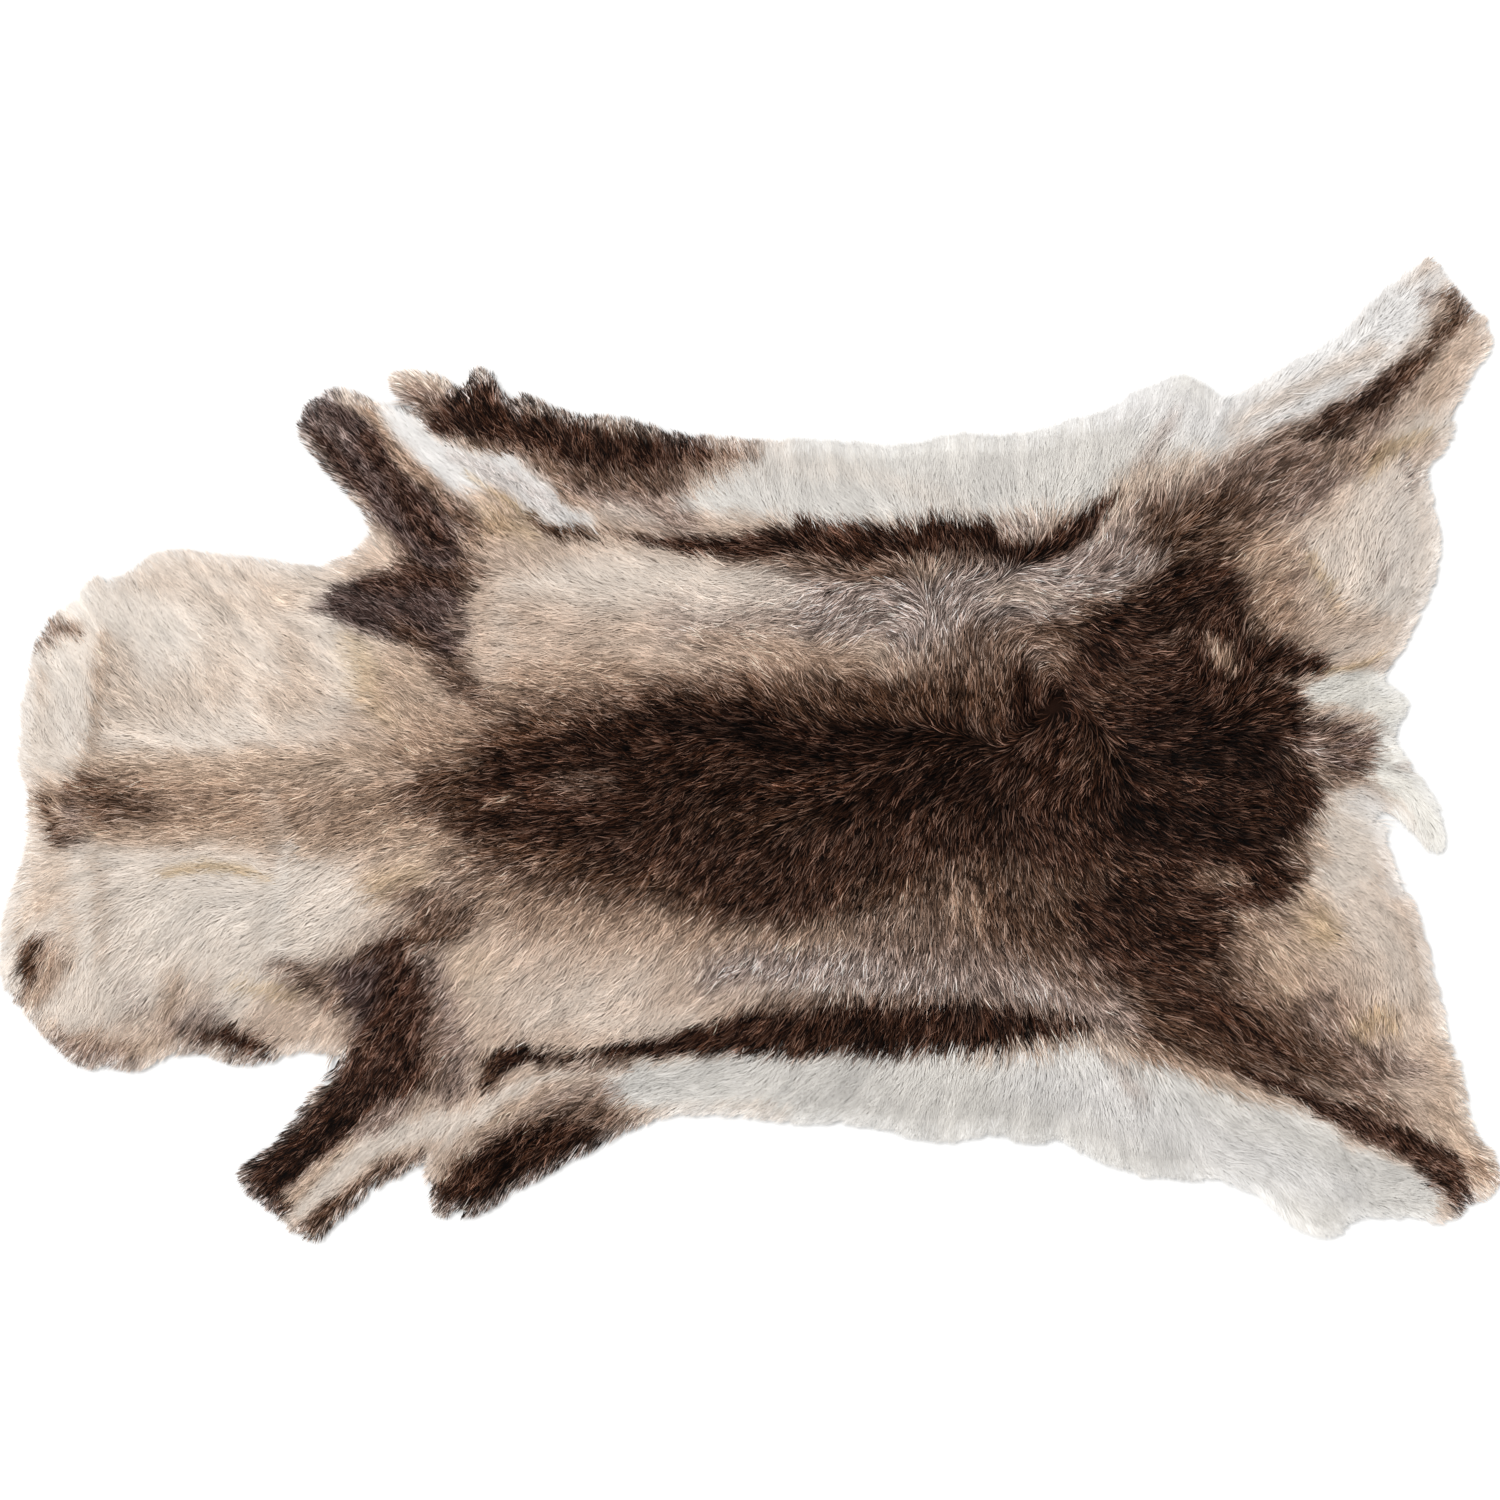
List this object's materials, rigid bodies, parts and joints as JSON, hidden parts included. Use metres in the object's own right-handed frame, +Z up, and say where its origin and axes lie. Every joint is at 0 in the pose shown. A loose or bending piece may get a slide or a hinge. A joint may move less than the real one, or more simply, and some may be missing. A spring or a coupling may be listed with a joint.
{
  "type": "reindeer hide",
  "caption": "Whole tanned animal hide with its hair on, laid flat hair side up, with neck, leg skins, breast flaps and short tail; dark back, pale flanks and white belly edges.",
  "frame": {"origin": "on the ground under the middle of the hide's outline box, hair side up", "axes": "+X from the neck cut to the tail along the back, +Y to the animal's right side, +Z up through the hair"},
  "size_m": [1.3, 0.854, 0.0337],
  "materials": {
    "coat": "thick laid winter hair, matt to silky, dark brown back, beige and frosted grey flanks, white belly",
    "skin": "pale tanned flesh side, soft suede nap"
  },
  "bodies": {
    "root": {"hide": "coat"}
  },
  "joints": []
}
